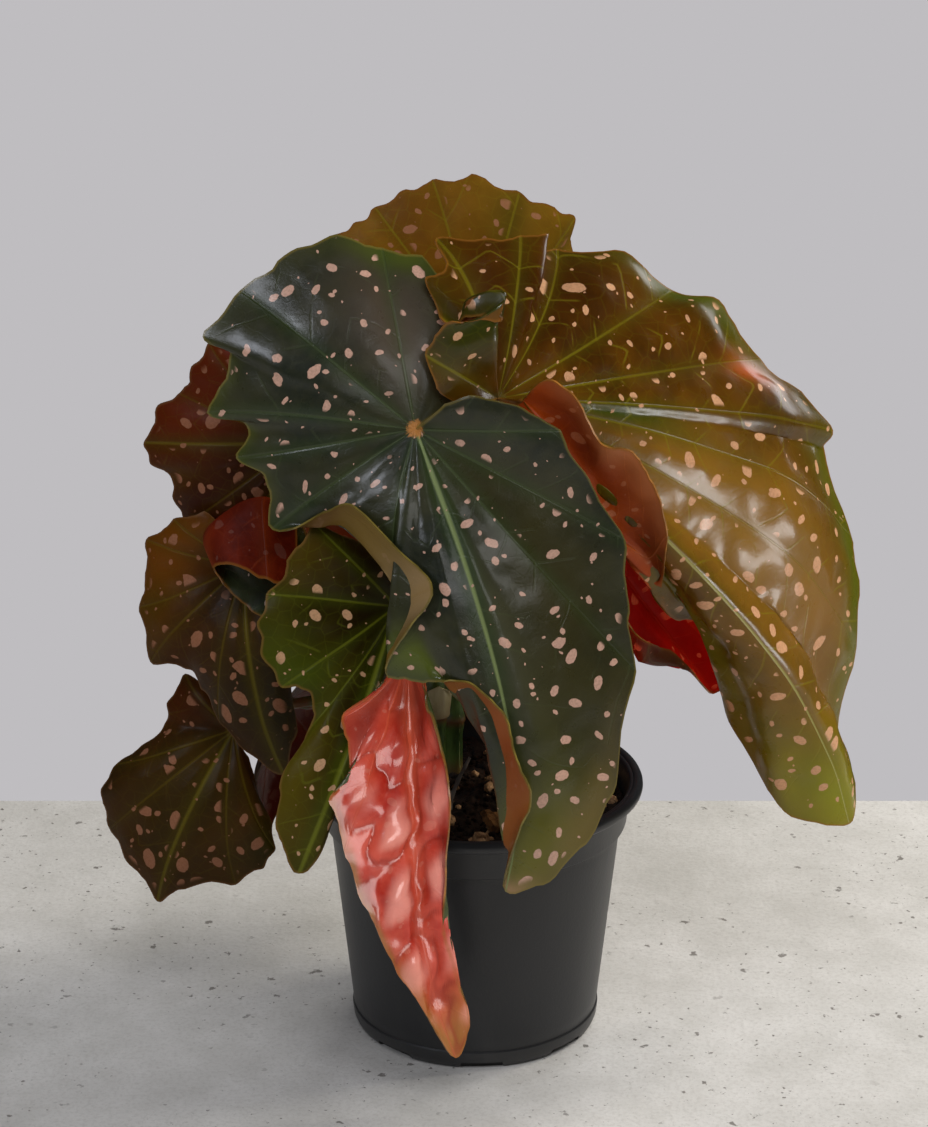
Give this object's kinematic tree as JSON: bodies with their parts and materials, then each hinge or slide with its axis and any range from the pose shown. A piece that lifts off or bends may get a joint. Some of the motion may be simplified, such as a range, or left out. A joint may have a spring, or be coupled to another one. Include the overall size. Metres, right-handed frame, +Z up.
{
  "type": "potted polka dot begonia",
  "caption": "Cane begonia with spotted angel-wing leaves, glossy olive above and red below, rooted in gritty soil in a round nursery pot that stands on a surface.",
  "frame": {"origin": "on the pot's axis at the height of its flat underside, where the pot meets the surface", "axes": "+Z up along the pot's axis, +X to the right and -Y towards the viewer in the reference view"},
  "size_m": [0.2708, 0.1927, 0.3083],
  "materials": {
    "pot": "satin black moulded plastic with a glossier rolled rim",
    "soil": null,
    "cane": null,
    "twig": "dry grey-brown stalk",
    "leaf_dark": null,
    "leaf_olive": null,
    "leaf_bronze": null,
    "leaf_red": null
  },
  "bodies": {
    "root": {"pot": "pot", "soil": "soil", "cane_left": "cane", "cane_right": "cane", "cane_back": "cane", "twig": "twig", "leaf_front": "leaf_dark", "leaf_right": "leaf_olive", "leaf_top": "leaf_olive", "leaf_left_upper": "leaf_bronze", "leaf_left_middle": "leaf_bronze", "leaf_left_lower": "leaf_bronze", "leaf_centre": "leaf_olive", "leaf_hanging": "leaf_red", "leaf_curled": "leaf_red", "leaf_red": "leaf_red", "leaf_back_left": "leaf_olive", "leaf_back": "leaf_bronze", "leaf_back_right": "leaf_olive", "leaf_low": "leaf_bronze"}
  },
  "joints": []
}
